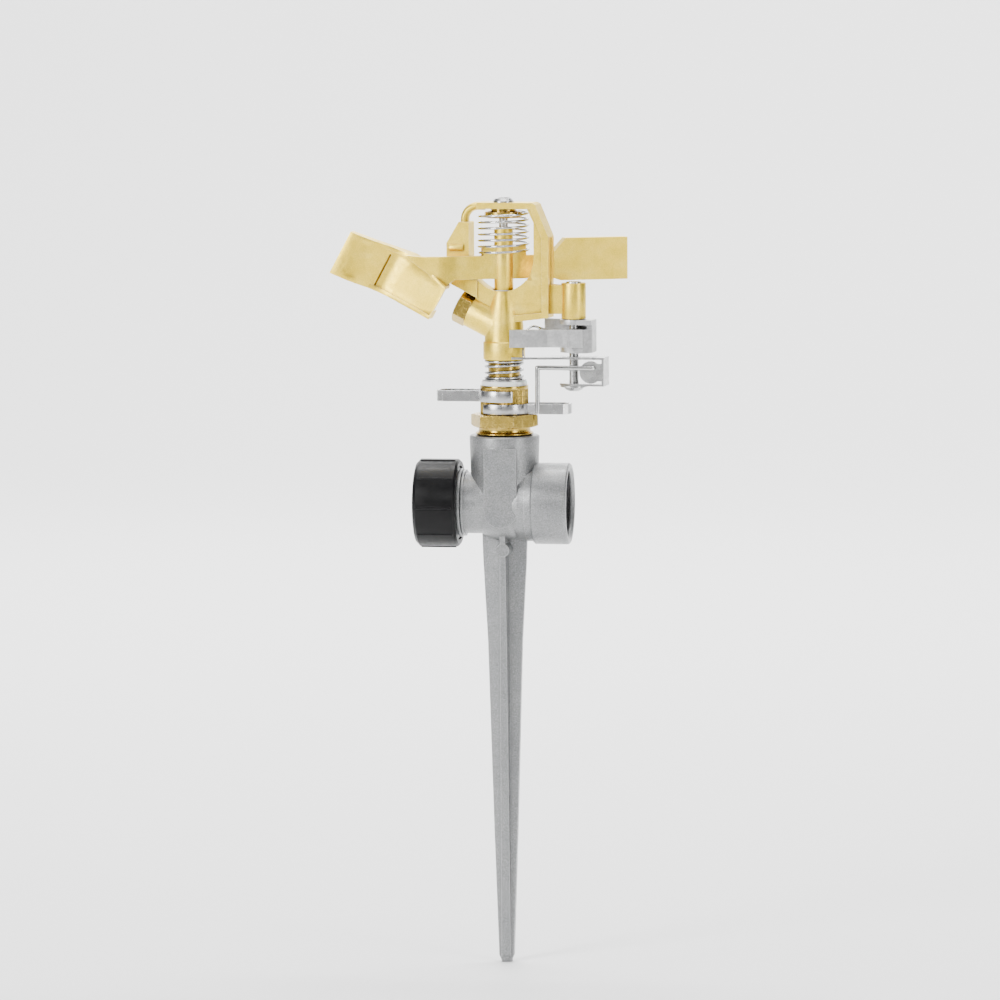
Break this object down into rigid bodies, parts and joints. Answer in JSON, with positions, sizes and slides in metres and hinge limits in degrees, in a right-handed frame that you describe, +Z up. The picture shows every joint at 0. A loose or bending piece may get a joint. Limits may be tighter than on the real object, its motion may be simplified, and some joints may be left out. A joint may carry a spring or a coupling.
{
  "type": "impact sprinkler",
  "caption": "Impact sprinkler head on a die-cast hose tee with a ground spike; the arm, trip, stop collars, swivel head and outlet cap move.",
  "frame": {"origin": "tip of the ground spike", "axes": "+Z up along the swivel axis, +X along the hose passage towards the female inlet, the head's bridge turned 5 degrees from X"},
  "size_m": [0.1072, 0.0372, 0.2831],
  "materials": {
    "painted_zinc": "hammered silver paint",
    "cast_brass": "satin as cast",
    "turned_brass": "bright machined",
    "steel": "bright",
    "zinc": "grey die-cast",
    "cap_plastic": "satin black",
    "nylon": "white",
    "rubber": "matte black"
  },
  "bodies": {
    "base": {"spike_base": "painted_zinc", "inlet_washer": "rubber", "bearing_nut": "turned_brass", "nylon_washer": "nylon", "spring_washer": "steel", "friction_washer": "nylon", "seal_washer": "rubber"},
    "cap_core": {"cap_washer": "rubber"},
    "cap": {"outlet_cap": "cap_plastic"},
    "upper_collar": {"upper_collar": "steel"},
    "lower_collar": {"lower_collar": "steel"},
    "head": {"stem_tube": "turned_brass", "bearing_spring": "steel", "sprinkler_body": "cast_brass", "nozzle": "turned_brass", "fulcrum_pin": "steel", "spring_seat": "turned_brass", "hub_washer": "nylon", "arm_spring": "steel", "trip_pin": "steel", "trip_washer": "steel"},
    "arm": {"impact_arm": "cast_brass"},
    "lever": {"trip_lever": "zinc", "over_center_spring": "steel"},
    "bracket": {"trip_bracket": "steel", "trip_wire": "steel"}
  },
  "joints": [
    {"name": "head_swivel", "type": "hinge", "parent": "base", "child": "head", "pos_m": [0, 0, 0.2], "axis": [0, 0, 1], "range_deg": [-120, 0]},
    {"name": "lower_collar_turn", "type": "hinge", "parent": "base", "child": "lower_collar", "pos_m": [0, 0, 0.205], "axis": [0, 0, 1], "range_deg": [0, 150]},
    {"name": "upper_collar_turn", "type": "hinge", "parent": "base", "child": "upper_collar", "pos_m": [0, 0, 0.21], "axis": [0, 0, 1], "range_deg": [-150, 0]},
    {"name": "arm_swing", "type": "hinge", "parent": "head", "child": "arm", "pos_m": [0, 0, 0.26], "axis": [0, 0, 1], "range_deg": [0, 120], "stiffness_Nm_per_rad": 0.012, "springref_deg": -22.92, "deforming": ["arm_spring"]},
    {"name": "trip_bracket_turn", "type": "hinge", "parent": "head", "child": "bracket", "pos_m": [0.026, -0.00228, 0.22], "axis": [0, 0, 1], "range_deg": [0, 12]},
    {"name": "trip_lever_turn", "type": "hinge", "parent": "head", "child": "lever", "pos_m": [0.026, -0.00228, 0.23], "axis": [0, 0, 1], "range_deg": [-6, 0], "deforming": ["over_center_spring"]},
    {"name": "cap_slide", "type": "slide", "parent": "base", "child": "cap_core", "axis": [-1, 0, 0], "range_m": [0, 0.01216]},
    {"name": "cap_turn", "type": "hinge", "parent": "cap_core", "child": "cap", "pos_m": [-0.025, 0, 0.1705], "axis": [-1, 0, 0], "range_deg": [0, 1980]}
  ],
  "couplings": [
    {"joint": "cap_slide", "follows": "cap_turn", "m_per_rad": 0.00035157},
    {"joint": "trip_lever_turn", "follows": "trip_bracket_turn", "ratio": -0.5}
  ]
}
